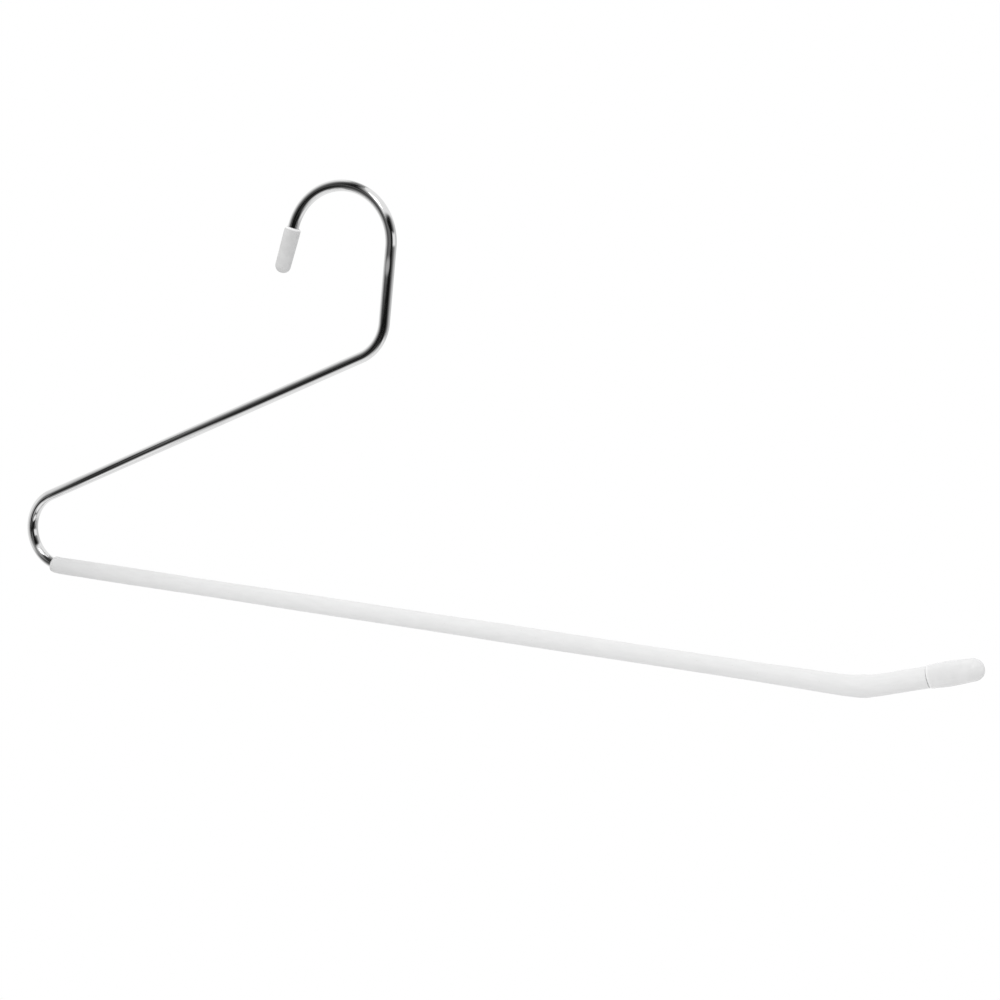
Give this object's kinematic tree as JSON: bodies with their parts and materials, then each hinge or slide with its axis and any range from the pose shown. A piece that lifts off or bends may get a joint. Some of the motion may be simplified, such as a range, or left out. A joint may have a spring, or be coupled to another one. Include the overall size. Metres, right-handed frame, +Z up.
{
  "type": "trouser hanger",
  "caption": "Open-ended trouser hanger: a bent chromed wire with a rail hook, a soft non-slip sleeve on its upturned bar, and a cap on each end.",
  "frame": {"origin": "the seat inside the top of the hook's bow, on the hanger's mid-plane, where the rail bears", "axes": "+X along the trouser bar towards its open end, +Y across the hanger along the rail, +Z up"},
  "size_m": [0.3599, 0.0078, 0.1536],
  "materials": {
    "chrome_wire": "bright chrome plate with faint drawing marks",
    "soft_sleeve": "satin white soft plastic",
    "tip_cap": "satin pale grey soft plastic",
    "end_cap": "semi-gloss white plastic"
  },
  "bodies": {
    "root": {"wire_frame": "chrome_wire", "bar_sleeve": "soft_sleeve", "hook_tip_cap": "tip_cap", "bar_end_cap": "end_cap"}
  },
  "joints": []
}
